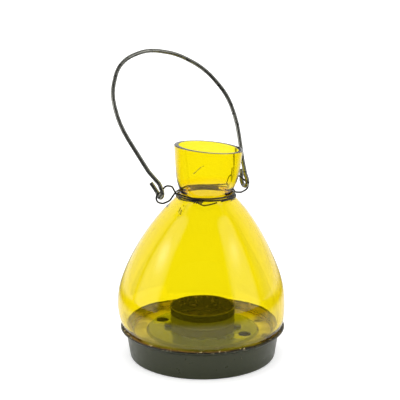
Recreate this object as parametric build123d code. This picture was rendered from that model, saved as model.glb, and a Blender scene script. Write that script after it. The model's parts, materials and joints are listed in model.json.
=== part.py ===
from build123d import *
import math
import os

os.makedirs("parts", exist_ok=True)

# Frame: the origin is the middle of the base's foot, +Z is up and +X runs along the
# axis that the wire bail swings on. All sizes are in millimetres.

# --- pressed steel base -------------------------------------------------------
SHEET = 0.7                     # sheet thickness of the base and the tray
FOOT_INNER_R = 39.0             # inner edge of the turned-in foot
FOOT_R = 45.9                   # outer radius just above the foot
FOOT_CORNER = 1.6
WALL_TOP_R = 48.4               # outer radius where the lip starts to flare
WALL_TOP_Z = 16.4
LIP_R = 52.0                    # outer radius of the flared lip
LIP_Z = 19.7                    # top of the lip

# --- floor tray ---------------------------------------------------------------
TRAY_R = 47.2
GUTTER_Z = 15.8                 # top of the outer gutter, which the jar's heel stands over
FLOOR_Z = 17.5                  # top of the raised middle floor
FLOOR_R = 34.6                  # edge of the flat part of the raised floor
STEP_R = 36.2                   # foot of the step down to the gutter
VENT_D = 8.0
VENT_PLACE_R = 29.0
VENT_ANGLE = 125.0              # one vent here, the other one half a turn away

# --- bait cup -----------------------------------------------------------------
CUP_R = 20.5                    # outer radius of the cup's wall
CUP_SHEET = 0.6
CUP_RIM_Z = 32.2
CUP_BEAD_Z = 22.4               # rolled bead that the cup's floor is seated in
CUP_FOOT_Z = 15.6
CUP_FLANGE_R = 24.6             # flange that bears on the tray from below
CUP_FIT = 0.35                  # room between the cup's wall and the hole in the tray
LUG_ANGLE = 150.0               # one lug here, the other one half a turn away
LUG_REACH = 4.1
LUG_WIDTH = 4.4
LUG_HEIGHT = 1.5
LUG_GAP = 0.3
RELEASE_TURN = 60.0             # turn from the locked place to the notches in the tray

# --- hand-blown jar -----------------------------------------------------------
GLASS = 2.8                     # wall thickness
JAR_STEP = 3.1                  # height of the bands that the jar's solid is built from
# Height, outer radius and sideways drift of the jar's round sections: the neck was
# drawn a little off the middle of the body, towards LEAN_ANGLE.
LEAN_ANGLE = -30.0
JAR_SECTIONS = [
    (16.3, 47.0, 0.0),
    (18.0, 48.9, 0.0),
    (21.0, 50.6, 0.0),
    (26.0, 52.1, -0.4),
    (34.0, 52.9, -0.9),
    (44.0, 52.0, -0.9),
    (54.0, 49.1, -0.6),
    (66.0, 44.0, -0.2),
    (78.0, 37.6, 0.4),
    (88.0, 31.0, 1.0),
    (96.0, 24.8, 1.5),
    (101.5, 19.5, 1.9),
    (105.8, 16.3, 2.1),
    (109.0, 17.2, 2.4),
    (114.0, 18.9, 2.8),
    (121.0, 20.0, 3.2),
    (130.0, 20.9, 3.6),
    (139.0, 21.7, 4.0),
]
MOUTH_Z = 134.5                 # the hand-cut mouth's height at its middle
MOUTH_DRIFT = 3.7
MOUTH_FALL = 5.2                # degrees that the cut falls towards LEAN_ANGLE
MOUTH_NOD = -1.6                # degrees that it is tipped about that direction

# --- wires --------------------------------------------------------------------
NECK_Z = 105.8                  # height of the waist that the wires sit in
NECK_DRIFT = 2.1
NECK_WIRE_D = 1.1
NECK_TURN_R = 17.4              # centre line of the neck wire's turn
# Angles about the neck where the corners of the wire's turn lie, before they are
# rounded: the front strand first, then the back one, both from left to right.
NECK_CORNERS = ((212.0, 250.0, 288.0, 325.0), (146.0, 110.0, 72.0, 34.0))
TIE_WIRE_D = 0.7
TIE_TURN_R = 18.6
TIE_Z = 103.6
TIE_KNOT_ANGLE = -134.0         # where the ends are twisted together
TIE_KNOT_R = 0.8
TIE_KNOT_LENGTH = 2.4
# Tail of the tie wire past its knot: how far out, how far round and how far down.
TIE_TAIL = ((0.5, 0.0, 0.1), (2.4, 9.0, 1.5), (1.2, 28.0, 0.4))

BAIL_WIRE_D = 2.6
HINGE_Z = 109.5
HINGE_LEFT_X = -30.0
HINGE_RIGHT_X = 30.6
BAIL_LEAN = 35.0                # lean of the bail from upright, towards +Y, at rest
HOOK_HALF = 3.3                 # half the width of each hook, centre line

# Each ear ring is bent by hand. Its corners, before they are rounded, are measured
# from the hinge axis: towards the neck, then up. The second list has their radii.
EAR_TURN = -12.0                # the rings' plane is turned this much from the hinge axis
LEFT_EAR = [
    (9.6, -0.7),
    (7.6, 3.2),
    (3.7, 3.9),
    (0.2, -0.1),
    (-2.5, -1.9),
    (-2.0, -6.1),
    (2.0, -7.4),
    (6.4, -5.9),
    (9.6, -1.5),
]
LEFT_EAR_RADII = [2.2, 3.0, 3.0, 3.0, 3.0, 3.4, 4.0]
RIGHT_EAR = [
    (8.9, -2.4),
    (8.0, 2.4),
    (4.2, 3.9),
    (0.0, 0.4),
    (-2.9, -2.4),
    (-1.6, -5.6),
    (2.2, -7.3),
    (6.2, -6.9),
    (8.9, -3.2),
]
RIGHT_EAR_RADII = [2.6, 3.0, 3.0, 3.0, 3.0, 3.2, 2.4]


def save(shape, name):
    """Writes one sub-part to its own file."""
    shape.label = name
    export_step(shape, f"parts/{name}.step")


def spun(points):
    """Solid of revolution about +Z from an outline of (radius, height) points."""
    outline = Polyline(*[(r, 0, z) for r, z in points], close=True)
    return revolve(make_face(outline), Axis.Z)


def polar(radius, angle, z=0.0):
    """Point at a radius and an angle in degrees about +Z."""
    turn = math.radians(angle)
    return Vector(radius * math.cos(turn), radius * math.sin(turn), z)


def arc_points(centre, radius, start, end, steps):
    """Points of an arc in an outline, from one angle in degrees to another."""
    turns = [math.radians(start + (end - start) * i / steps) for i in range(steps + 1)]
    return [(centre[0] + radius * math.cos(t), centre[1] + radius * math.sin(t)) for t in turns]


def make_base_pan():
    """Tapered skirt with a turned-in foot and a lip that flares out under the jar."""
    corner = (FOOT_R - FOOT_CORNER, FOOT_CORNER)
    outer = arc_points(corner, FOOT_CORNER, -90, 0, 4)
    inner = arc_points(corner, FOOT_CORNER - SHEET, 0, -90, 4)
    outline = [(FOOT_INNER_R, 0)] + outer
    outline += [(WALL_TOP_R, WALL_TOP_Z), (LIP_R, LIP_Z - SHEET), (LIP_R, LIP_Z)]
    outline += [(LIP_R - SHEET, LIP_Z), (WALL_TOP_R - SHEET, WALL_TOP_Z + 0.3)]
    outline += inner + [(FOOT_INNER_R, SHEET)]
    return spun(outline)


def make_floor_tray():
    """Raised floor with a gutter round it, two vents and a notched hole for the cup."""
    hole_r = CUP_R + CUP_FIT
    tray = spun([
        (hole_r, FLOOR_Z),
        (FLOOR_R, FLOOR_Z),
        (STEP_R, GUTTER_Z),
        (TRAY_R, GUTTER_Z),
        (TRAY_R, GUTTER_Z - SHEET),
        (STEP_R - 0.4, GUTTER_Z - SHEET),
        (FLOOR_R - 0.4, FLOOR_Z - SHEET),
        (hole_r, FLOOR_Z - SHEET),
    ])
    for half_turn in (0, 180):
        vent = Pos(polar(VENT_PLACE_R, VENT_ANGLE + half_turn, FLOOR_Z)) * Cylinder(VENT_D / 2, 6)
        notch = Box(2 * (LUG_REACH + 0.6), LUG_WIDTH + 0.8, 6)
        place = polar(CUP_R, LUG_ANGLE - RELEASE_TURN + half_turn, FLOOR_Z)
        tray = tray - vent - Pos(place) * Rot(0, 0, LUG_ANGLE - RELEASE_TURN) * notch
    return tray


def make_bait_cup():
    """Open tube with a rolled rim, a bead near its middle and a flange at its foot."""
    inner_r = CUP_R - CUP_SHEET
    wall = spun([
        (inner_r, CUP_RIM_Z),
        (CUP_R + 0.3, CUP_RIM_Z),
        (CUP_R + 0.3, CUP_RIM_Z - 0.8),
        (CUP_R, CUP_RIM_Z - 1.1),
        (CUP_R, CUP_FOOT_Z + CUP_SHEET),
        (CUP_FLANGE_R, CUP_FOOT_Z + CUP_SHEET),
        (CUP_FLANGE_R, CUP_FOOT_Z),
        (inner_r, CUP_FOOT_Z),
    ])
    bead = Pos(0, 0, CUP_BEAD_Z) * Torus(CUP_R - 0.3, 0.6)
    return wall + bead


def make_cup_floor():
    """Disc pressed into the bead: the dished bottom of the cup."""
    inner_r = CUP_R - CUP_SHEET
    groove = Pos(0, 0, CUP_BEAD_Z) * Torus(CUP_R - 0.3, 0.6)
    disc = spun([
        (0, CUP_BEAD_Z + 0.1),
        (inner_r - 1.6, CUP_BEAD_Z + 0.1),
        (inner_r - 0.5, CUP_BEAD_Z + 1.2),
        (inner_r, CUP_BEAD_Z + 1.2),
        (inner_r, CUP_BEAD_Z + 0.4),
        (inner_r - 1.2, CUP_BEAD_Z - 0.5),
        (0, CUP_BEAD_Z - 0.5),
    ])
    return disc - groove


def make_cup_lugs():
    """Two small lugs, spot-welded to the cup's wall just above the tray."""
    bottom = FLOOR_Z + LUG_GAP
    lugs = []
    for half_turn in (0, 180):
        block = Box(LUG_REACH + 1, LUG_WIDTH, LUG_HEIGHT, align=(Align.MIN, Align.CENTER, Align.MIN))
        block = fillet(block.edges().filter_by(Axis.Z).sort_by(Axis.X)[-2:], 0.9)
        block = Rot(0, 0, LUG_ANGLE + half_turn) * Pos(CUP_R - 1, 0, bottom) * block
        lugs.append(block - Cylinder(CUP_R, 200))
    return Compound(children=lugs)


def smooth_between(heights, values, z):
    """Value at a height on a smooth curve through the given values."""
    last = len(heights) - 1
    i = max(k for k in range(last) if heights[k] <= z or k == 0)
    slopes = []
    for k in (i, i + 1):
        low = max(k - 1, 0)
        high = min(k + 1, last)
        slopes.append((values[high] - values[low]) / (heights[high] - heights[low]))
    span = heights[i + 1] - heights[i]
    t = (z - heights[i]) / span
    bend = (2 * t**3 - 3 * t**2 + 1) * values[i] + (3 * t**2 - 2 * t**3) * values[i + 1]
    return bend + span * ((t**3 - 2 * t**2 + t) * slopes[0] + (t**3 - t**2) * slopes[1])


def jar_solid(bottom, thickness):
    """Solid through the jar's round sections, drawn in by a wall thickness."""
    heights = [z for z, _, _ in JAR_SECTIONS]
    radii = [radius for _, radius, _ in JAR_SECTIONS]
    drifts = [drift for _, _, drift in JAR_SECTIONS]
    count = round((heights[-1] - heights[0]) / JAR_STEP)
    sections = []
    for i in range(count + 1):
        z = heights[0] + (heights[-1] - heights[0]) * i / count
        slope = smooth_between(heights, radii, z + 0.5) - smooth_between(heights, radii, z - 0.5)
        inset = thickness * math.sqrt(1 + min(slope * slope, 1.2))
        radius = smooth_between(heights, radii, z) - inset
        place = polar(smooth_between(heights, drifts, z), LEAN_ANGLE, bottom if i == 0 else z)
        sections.append(Plane(place) * Circle(radius))
    return loft(sections, ruled=True)


def make_glass_jar():
    """Thin-walled jar, open at the heel and cut off on a slant at the mouth."""
    jar = jar_solid(JAR_SECTIONS[0][0], 0) - jar_solid(JAR_SECTIONS[0][0] - 1, GLASS)
    cut = Box(100, 100, 40, align=(Align.CENTER, Align.CENTER, Align.MIN))
    tilt = Rot(0, 0, LEAN_ANGLE) * Rot(MOUTH_NOD, MOUTH_FALL, 0)
    return jar - Pos(polar(MOUTH_DRIFT, LEAN_ANGLE, MOUTH_Z)) * tilt * cut


def make_jar_seal(jar):
    """Bead of putty that fills the flare of the lip round the jar's heel."""
    ring = spun([
        (TRAY_R - 0.8, GUTTER_Z),
        (WALL_TOP_R - SHEET - 0.4, GUTTER_Z),
        (WALL_TOP_R - SHEET - 0.2, WALL_TOP_Z + 0.3),
        (LIP_R - SHEET - 0.2, LIP_Z - 0.1),
        (LIP_R - SHEET - 0.3, LIP_Z + 0.5),
        (LIP_R - 3.0, LIP_Z + 0.3),
        (TRAY_R - 0.8, GUTTER_Z + 1.5),
    ])
    return max((ring - jar).solids(), key=lambda piece: piece.volume)


def swept_wire(path, diameter):
    """Round wire along a path."""
    section = Plane(origin=path @ 0, z_dir=path % 0) * Circle(diameter / 2)
    return sweep(section, path=path)


def rod(start, end, diameter):
    """Straight round rod between two points."""
    span = end - start
    return extrude(Plane(origin=start, z_dir=span) * Circle(diameter / 2), span.length)


def ear_point(side, inward, up):
    """Point in the plane of an ear ring; side is -1 on the left and 1 on the right."""
    hook_x = HINGE_LEFT_X if side < 0 else HINGE_RIGHT_X
    return Vector(hook_x, 0, HINGE_Z + up) - polar(side * inward, EAR_TURN)


def make_ear(side, corners, radii):
    """Ear ring: one round of wire, open by a hair where its ends cross at the neck."""
    points = [ear_point(side, inward, up) for inward, up in corners]
    return swept_wire(FilletPolyline(*points, radius=radii).wire(), NECK_WIRE_D)


def ear_root(side, corners):
    """Point where the two ends of an ear ring cross."""
    return (ear_point(side, *corners[0]) + ear_point(side, *corners[-1])) / 2


def make_neck_wire():
    """One wire round the waist of the jar with a hand-bent ring on each side."""
    neck = polar(NECK_DRIFT, LEAN_ANGLE, NECK_Z)
    left = ear_root(-1, LEFT_EAR)
    right = ear_root(1, RIGHT_EAR)
    wire = make_ear(-1, LEFT_EAR, LEFT_EAR_RADII) + make_ear(1, RIGHT_EAR, RIGHT_EAR_RADII)
    for angles in NECK_CORNERS:
        spread = math.radians(abs(angles[1] - angles[0]) / 2)
        corner_r = NECK_TURN_R / math.cos(spread)
        corners = [neck + polar(corner_r, angle) for angle in angles]
        path = FilletPolyline(left, *corners, right, radius=NECK_TURN_R * 0.85)
        wire = wire + swept_wire(path.wire(), NECK_WIRE_D)
    for root in (left, right):
        wire = wire + Pos(root) * Sphere(NECK_WIRE_D)
    return wire


def make_tie_wire():
    """Thin second turn below the first one, its ends twisted together in front."""
    neck = polar(NECK_DRIFT, LEAN_ANGLE, TIE_Z)
    turn = Pos(neck) * Torus(TIE_TURN_R, TIE_WIRE_D / 2)
    twist = Rot(90, 0, 0) * Cylinder(TIE_KNOT_R, TIE_KNOT_LENGTH)
    wire = turn + Pos(neck) * Rot(0, 0, TIE_KNOT_ANGLE) * Pos(TIE_TURN_R + 0.3, 0, 0) * twist
    tail = [
        neck + polar(TIE_TURN_R + out, TIE_KNOT_ANGLE + round_by, -down)
        for out, round_by, down in TIE_TAIL
    ]
    for start, end in zip(tail, tail[1:]):
        wire = wire + rod(start, end, TIE_WIRE_D) + Pos(end) * Sphere(TIE_WIRE_D * 0.65)
    return wire


def bail_point(x, toward, up):
    """Point of the bail at rest, from its place along, across and up its own plane."""
    lean = math.radians(BAIL_LEAN)
    y = toward * math.cos(lean) + up * math.sin(lean)
    z = HINGE_Z - toward * math.sin(lean) + up * math.cos(lean)
    return Vector(x, y, z)


def make_bail():
    """Bail of stiff wire, bent round into an open hook at each end."""
    near = -HOOK_HALF
    far = HOOK_HALF
    stops = [
        ((-32.2, far, 8.0), None),
        ((HINGE_LEFT_X, far, 1.6), 3.0),
        ((HINGE_LEFT_X, far, -HOOK_HALF), HOOK_HALF - 0.1),
        ((HINGE_LEFT_X, near, -HOOK_HALF), HOOK_HALF - 0.1),
        ((-30.4, near, 4.0), 6.0),
        ((-35.1, near, 12.7), 20.0),
        ((-45.3, near, 45.7), 60.0),
        ((-44.0, near, 66.7), 36.0),
        ((-32.6, near, 88.3), 28.0),
        ((-10.2, near, 95.0), 32.0),
        ((9.1, near, 90.5), 38.0),
        ((26.2, near, 78.5), 40.0),
        ((36.0, near, 59.0), 38.0),
        ((37.2, near, 40.5), 80.0),
        ((31.8, near, 12.4), 30.0),
        ((HINGE_RIGHT_X, near, 3.6), 8.0),
        ((HINGE_RIGHT_X, near, -HOOK_HALF), HOOK_HALF - 0.1),
        ((HINGE_RIGHT_X, far, -HOOK_HALF), HOOK_HALF - 0.1),
        ((HINGE_RIGHT_X, far, 2.0), 3.0),
        ((33.2, far, 8.8), None),
    ]
    points = [bail_point(*place) for place, _ in stops]
    radii = [radius for _, radius in stops if radius is not None]
    path = FilletPolyline(*points, radius=radii).wire()
    return swept_wire(path, BAIL_WIRE_D)


glass_jar = make_glass_jar()
save(make_base_pan(), "base_pan")
save(make_floor_tray(), "floor_tray")
save(make_bait_cup(), "bait_cup")
save(make_cup_floor(), "cup_floor")
save(make_cup_lugs(), "cup_lugs")
save(glass_jar, "glass_jar")
save(make_jar_seal(glass_jar), "jar_seal")
save(make_neck_wire(), "neck_wire")
save(make_tie_wire(), "tie_wire")
save(make_bail(), "bail")
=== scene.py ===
import json
import math

import bmesh
import bpy
import numpy as np
from bpy.props import FloatProperty, FloatVectorProperty, IntProperty, PointerProperty
from mathutils import Matrix, Vector, noise


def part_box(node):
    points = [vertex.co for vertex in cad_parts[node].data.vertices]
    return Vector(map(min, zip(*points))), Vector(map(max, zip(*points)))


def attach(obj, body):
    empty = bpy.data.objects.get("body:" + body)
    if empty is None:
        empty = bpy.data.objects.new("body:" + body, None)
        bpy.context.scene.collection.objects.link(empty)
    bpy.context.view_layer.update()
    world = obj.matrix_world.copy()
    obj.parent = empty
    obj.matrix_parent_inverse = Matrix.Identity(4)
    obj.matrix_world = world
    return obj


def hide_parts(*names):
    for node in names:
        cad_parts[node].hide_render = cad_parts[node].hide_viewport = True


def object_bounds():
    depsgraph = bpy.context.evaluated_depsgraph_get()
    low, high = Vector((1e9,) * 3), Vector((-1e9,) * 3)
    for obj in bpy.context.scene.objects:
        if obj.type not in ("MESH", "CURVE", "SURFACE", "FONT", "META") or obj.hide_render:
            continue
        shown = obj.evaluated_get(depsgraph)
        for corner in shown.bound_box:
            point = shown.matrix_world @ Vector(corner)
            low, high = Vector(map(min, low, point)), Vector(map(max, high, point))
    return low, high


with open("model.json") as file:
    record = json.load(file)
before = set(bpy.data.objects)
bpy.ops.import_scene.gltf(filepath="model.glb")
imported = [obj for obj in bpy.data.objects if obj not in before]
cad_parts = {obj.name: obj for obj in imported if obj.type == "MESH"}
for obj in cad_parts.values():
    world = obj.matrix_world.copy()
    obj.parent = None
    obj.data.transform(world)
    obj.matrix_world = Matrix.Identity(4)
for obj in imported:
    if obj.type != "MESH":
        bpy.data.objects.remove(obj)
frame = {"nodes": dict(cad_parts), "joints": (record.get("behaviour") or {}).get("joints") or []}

bl_info = {
    "name": "Hanging Wasp Trap",
    "version": (1, 0, 0),
    "blender": (4, 5, 0),
    "location": "3D View > Sidebar > Wasp Trap",
    "description": "Builds a glass wasp trap with its steel base, bait cup, wires and bail",
    "category": "Add Mesh",
}

MM = 0.001
CAD_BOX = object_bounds()
HINGE = next(Vector(j["pos_m"]) for j in frame["joints"] if j["name"] == "bail_swing")


# ---------------------------------------------------------------------------
# Sizes and colours that a user would change
# ---------------------------------------------------------------------------

class WaspTrapGlass(bpy.types.PropertyGroup):
    """The blown jar."""
    tint: FloatVectorProperty(
        name="Tint", description="Colour that the glass lets through",
        subtype="COLOR", size=3, min=0, max=1, default=(0.985, 0.953, 0.0))
    depth: FloatProperty(
        name="Depth", description="How much thick glass darkens, per metre", default=1050.0, min=0)
    ripple: FloatProperty(
        name="Ripple", description="Unevenness of the hand-blown walls",
        subtype="DISTANCE", unit="LENGTH", default=0.22 * MM, min=0)
    lip: FloatProperty(
        name="Lip", description="Rounding of the cut edge of the mouth",
        subtype="DISTANCE", unit="LENGTH", default=0.45 * MM, min=0)
    waist: FloatProperty(
        name="Waist", description="How much thicker the glass is where the neck was drawn in",
        subtype="DISTANCE", unit="LENGTH", default=0.5 * MM, min=0)
    seeds: IntProperty(
        name="Seeds", description="Small bubbles left in the wall", default=26, min=0)
    seed_size: FloatProperty(
        name="Seed size", description="Width of a small bubble",
        subtype="DISTANCE", unit="LENGTH", default=0.3 * MM, min=0)


class WaspTrapSteel(bpy.types.PropertyGroup):
    """The pressed base, tray and cup."""
    sheet: FloatProperty(
        name="Sheet", description="Thickness of the pressed sheet",
        subtype="DISTANCE", unit="LENGTH", default=0.7 * MM, min=0)
    base_colour: FloatVectorProperty(
        name="Base paint", description="Satin paint outside",
        subtype="COLOR", size=3, min=0, max=1, default=(0.020, 0.024, 0.006))
    tray_colour: FloatVectorProperty(
        name="Tray paint", description="Gloss paint of the floor inside",
        subtype="COLOR", size=3, min=0, max=1, default=(0.085, 0.105, 0.060))
    cup_colour: FloatVectorProperty(
        name="Cup paint", description="Paint of the bait cup",
        subtype="COLOR", size=3, min=0, max=1, default=(0.105, 0.115, 0.070))
    rust_colour: FloatVectorProperty(
        name="Rust", description="Rust that shows through the paint",
        subtype="COLOR", size=3, min=0, max=1, default=(0.16, 0.062, 0.018))
    putty_colour: FloatVectorProperty(
        name="Putty", description="Dried putty round the jar's heel",
        subtype="COLOR", size=3, min=0, max=1, default=(0.16, 0.085, 0.018))


class WaspTrapWire(bpy.types.PropertyGroup):
    """The bail and the neck wires."""
    bail: FloatProperty(
        name="Bail wire", description="Diameter of the bail's wire",
        subtype="DISTANCE", unit="LENGTH", default=2.6 * MM, min=0)
    neck: FloatProperty(
        name="Neck wire", description="Diameter of the wire with the ear rings",
        subtype="DISTANCE", unit="LENGTH", default=1.1 * MM, min=0)
    tie: FloatProperty(
        name="Tie wire", description="Diameter of the thin wire",
        subtype="DISTANCE", unit="LENGTH", default=0.8 * MM, min=0)
    colour: FloatVectorProperty(
        name="Wire", description="Black-annealed steel",
        subtype="COLOR", size=3, min=0, max=1, default=(0.25, 0.25, 0.22))


def settings():
    """The glass, steel and wire settings of the scene."""
    scene = bpy.context.scene
    return scene.wasp_trap_glass, scene.wasp_trap_steel, scene.wasp_trap_wire


# ---------------------------------------------------------------------------
# Shape helpers
# ---------------------------------------------------------------------------

def rounded(points, radii, steps=5):
    """A path through 2D or 3D points, with an arc of its own radius at each inner corner."""
    points = [Vector(p) for p in points]
    path = [points[0]]
    for before, corner, after, radius in zip(points, points[1:], points[2:], radii):
        into = (corner - before).normalized()
        out = (after - corner).normalized()
        turn = into.angle(out, 0.0)
        if radius <= 0 or turn < 1e-4:
            path.append(corner)
            continue
        reach = radius * math.tan(turn / 2)
        side = (out - into).normalized()
        centre = corner + side * (radius / math.cos(turn / 2))
        start = corner - into * reach - centre
        count = max(2, math.ceil(steps * turn / (math.pi / 2)))
        for i in range(count + 1):
            angle = turn * i / count
            path.append(centre + start * math.cos(angle) + into * radius * math.sin(angle))
    path.append(points[-1])
    return path


def closed_outline(points, radii, steps=4):
    """A closed outline whose every corner has its own rounding."""
    around = [points[-1]] + list(points) + [points[0]]
    return rounded(around, radii, steps)[1:-1]


def new_object(name, data):
    """An object at the origin, linked to the scene."""
    obj = bpy.data.objects.new(name, data)
    bpy.context.scene.collection.objects.link(obj)
    return obj


def settle_mesh(bm, mesh, doubles, smooth_angle):
    """Writes a bmesh into a mesh: doubles merged, faces outward, smooth up to an angle."""
    bmesh.ops.remove_doubles(bm, verts=bm.verts, dist=doubles)
    bmesh.ops.recalc_face_normals(bm, faces=bm.faces)
    bm.to_mesh(mesh)
    bm.free()
    mesh.shade_smooth()
    mesh.set_sharp_from_angle(angle=math.radians(smooth_angle))


def mesh_object(name, bm, smooth_angle=40):
    """Turns a bmesh into an object at the origin."""
    mesh = bpy.data.meshes.new(name)
    settle_mesh(bm, mesh, 1e-7, smooth_angle)
    return new_object(name, mesh)


def lathe(name, outline, turns=144, shift=None):
    """Solid of revolution about +Z from a closed (radius, height) outline.

    shift(radius, angle, height) may move each point a little, as hand work does.
    """
    bm = bmesh.new()
    rings = []
    for radius, height in outline:
        if radius < 1e-7:
            rings.append([bm.verts.new((0, 0, height))] * turns)
            continue
        ring = []
        for j in range(turns):
            angle = math.tau * j / turns
            r, z = shift(radius, angle, height) if shift else (radius, height)
            ring.append(bm.verts.new((r * math.cos(angle), r * math.sin(angle), z)))
        rings.append(ring)
    for lower, upper in zip(rings, rings[1:] + rings[:1]):
        for j in range(turns):
            k = (j + 1) % turns
            corners = [lower[j], lower[k], upper[k], upper[j]]
            face = [v for i, v in enumerate(corners) if v not in corners[:i]]
            if len(face) > 2:
                bm.faces.new(face)
    return mesh_object(name, bm)


def finish_piece(obj, material, body, slot, *nodes):
    """Gives a piece its material and its body, and hides the CAD nodes it stands for; slot is not used."""
    obj.data.materials.clear()
    obj.data.materials.append(material)
    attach(obj, body)
    if nodes:
        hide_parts(*nodes)
    return obj


def plain_copy(obj):
    """Applies an object's modifiers and leaves a plain mesh object in its place."""
    graph = bpy.context.evaluated_depsgraph_get()
    graph.update()
    mesh = bpy.data.meshes.new_from_object(obj.evaluated_get(graph), depsgraph=graph)
    name = obj.name
    old = obj.data
    bpy.data.objects.remove(obj)
    if isinstance(old, bpy.types.Curve):
        bpy.data.curves.remove(old)
    mesh.name = name
    return new_object(name, mesh)


def rounded_copy(name, node, width, corner_angle):
    """A copy of a CAD piece with its doubles merged and its edges rounded."""
    copy = new_object(name, frame["nodes"][node].data.copy())
    bm = bmesh.new()
    bm.from_mesh(copy.data)
    bmesh.ops.remove_doubles(bm, verts=bm.verts, dist=1e-6)
    bmesh.ops.dissolve_limit(bm, angle_limit=math.radians(0.5), verts=bm.verts, edges=bm.edges)
    bm.to_mesh(copy.data)
    bm.free()
    bevel = copy.modifiers.new("rounding", "BEVEL")
    bevel.width = width
    bevel.segments = 3
    bevel.limit_method = "ANGLE"
    bevel.angle_limit = math.radians(corner_angle)
    made = plain_copy(copy)
    made.data.shade_smooth()
    made.data.set_sharp_from_angle(angle=math.radians(35))
    return made


# ---------------------------------------------------------------------------
# Geometry Nodes trees
# ---------------------------------------------------------------------------

def new_tree(name, inputs):
    """An empty geometry tree with a geometry input, the named inputs and a geometry output."""
    tree = bpy.data.node_groups.new(name, "GeometryNodeTree")
    tree.interface.new_socket("Geometry", in_out="INPUT", socket_type="NodeSocketGeometry")
    for label, kind in inputs:
        tree.interface.new_socket(label, in_out="INPUT", socket_type=kind)
    tree.interface.new_socket("Geometry", in_out="OUTPUT", socket_type="NodeSocketGeometry")
    return tree, tree.nodes.new("NodeGroupInput"), tree.nodes.new("NodeGroupOutput")


def end_tree(tree, given, made, geometry):
    """Ends a tree: its instances made real and painted with the given material."""
    realize = tree.nodes.new("GeometryNodeRealizeInstances")
    tree.links.new(geometry, realize.inputs[0])
    paint = tree.nodes.new("GeometryNodeSetMaterial")
    tree.links.new(realize.outputs[0], paint.inputs["Geometry"])
    tree.links.new(given.outputs["Material"], paint.inputs["Material"])
    tree.links.new(paint.outputs["Geometry"], made.inputs[0])
    return tree


def wire_tree():
    """Round wire that follows a curve, with closed ends."""
    name = "wire_along_path"
    if name in bpy.data.node_groups:
        return bpy.data.node_groups[name]
    tree, given, made = new_tree(name, [
        ("Diameter", "NodeSocketFloat"), ("Facets", "NodeSocketInt"),
        ("Material", "NodeSocketMaterial")])
    add, link = tree.nodes.new, tree.links.new
    half = add("ShaderNodeMath")
    half.operation = "MULTIPLY"
    half.inputs[1].default_value = 0.5
    link(given.outputs["Diameter"], half.inputs[0])
    section = add("GeometryNodeCurvePrimitiveCircle")
    link(given.outputs["Facets"], section.inputs["Resolution"])
    link(half.outputs[0], section.inputs["Radius"])
    sweep = add("GeometryNodeCurveToMesh")
    sweep.inputs["Fill Caps"].default_value = True
    link(given.outputs["Geometry"], sweep.inputs["Curve"])
    link(section.outputs["Curve"], sweep.inputs["Profile Curve"])
    return end_tree(tree, given, made, sweep.outputs["Mesh"])


def seed_tree():
    """Small long bubbles scattered over a surface, lying along it."""
    name = "seeds_in_glass"
    if name in bpy.data.node_groups:
        return bpy.data.node_groups[name]
    tree, given, made = new_tree(name, [
        ("Density", "NodeSocketFloat"), ("Size", "NodeSocketFloat"), ("Seed", "NodeSocketInt"),
        ("Material", "NodeSocketMaterial")])
    add, link = tree.nodes.new, tree.links.new
    scatter = add("GeometryNodeDistributePointsOnFaces")
    link(given.outputs["Geometry"], scatter.inputs["Mesh"])
    link(given.outputs["Density"], scatter.inputs["Density"])
    link(given.outputs["Seed"], scatter.inputs["Seed"])
    ball = add("GeometryNodeMeshIcoSphere")
    ball.inputs["Subdivisions"].default_value = 2
    link(given.outputs["Size"], ball.inputs["Radius"])
    vary = add("FunctionNodeRandomValue")
    vary.data_type = "FLOAT_VECTOR"
    vary.inputs[0].default_value = (0.25, 0.35, 0.2)
    vary.inputs[1].default_value = (0.5, 1.1, 0.4)
    link(given.outputs["Seed"], vary.inputs["Seed"])
    place = add("GeometryNodeInstanceOnPoints")
    link(scatter.outputs["Points"], place.inputs["Points"])
    link(ball.outputs["Mesh"], place.inputs["Instance"])
    link(scatter.outputs["Rotation"], place.inputs["Rotation"])
    link(vary.outputs[0], place.inputs["Scale"])
    return end_tree(tree, given, made, place.outputs["Instances"])


def run_tree(obj, tree, values):
    """Runs a tree on an object with its named inputs set, and returns the plain result."""
    modifier = obj.modifiers.new(tree.name, "NODES")
    modifier.node_group = tree
    for socket in tree.interface.items_tree:
        if socket.in_out == "INPUT" and socket.name in values:
            modifier[socket.identifier] = values[socket.name]
    return plain_copy(obj)


def wire(name, path, diameter, material, facets=20, cyclic=False, order=0):
    """A piece of round wire along a path of points, kept as drawn or smoothed by a spline."""
    curve = bpy.data.curves.new(name, "CURVE")
    curve.dimensions = "3D"
    spline = curve.splines.new("NURBS" if order else "POLY")
    spline.points.add(len(path) - 1)
    for point, place in zip(spline.points, path):
        point.co = (*place, 1.0)
    spline.use_cyclic_u = cyclic
    if order:
        spline.order_u = order
        spline.use_endpoint_u = not cyclic
        spline.resolution_u = 6
    made = run_tree(new_object(name, curve), wire_tree(), {
        "Diameter": diameter, "Facets": facets, "Material": material})
    bm = bmesh.new()
    bm.from_mesh(made.data)
    settle_mesh(bm, made.data, 1e-6, 50)
    return made


# ---------------------------------------------------------------------------
# Materials
# ---------------------------------------------------------------------------

RANGE_ENDS = ("From Min", "From Max", "To Min", "To Max")


def set_range(node, *ends):
    """Sets the four ends of a Map Range node."""
    for label, number in zip(RANGE_ENDS, ends):
        node.inputs[label].default_value = number


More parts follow.
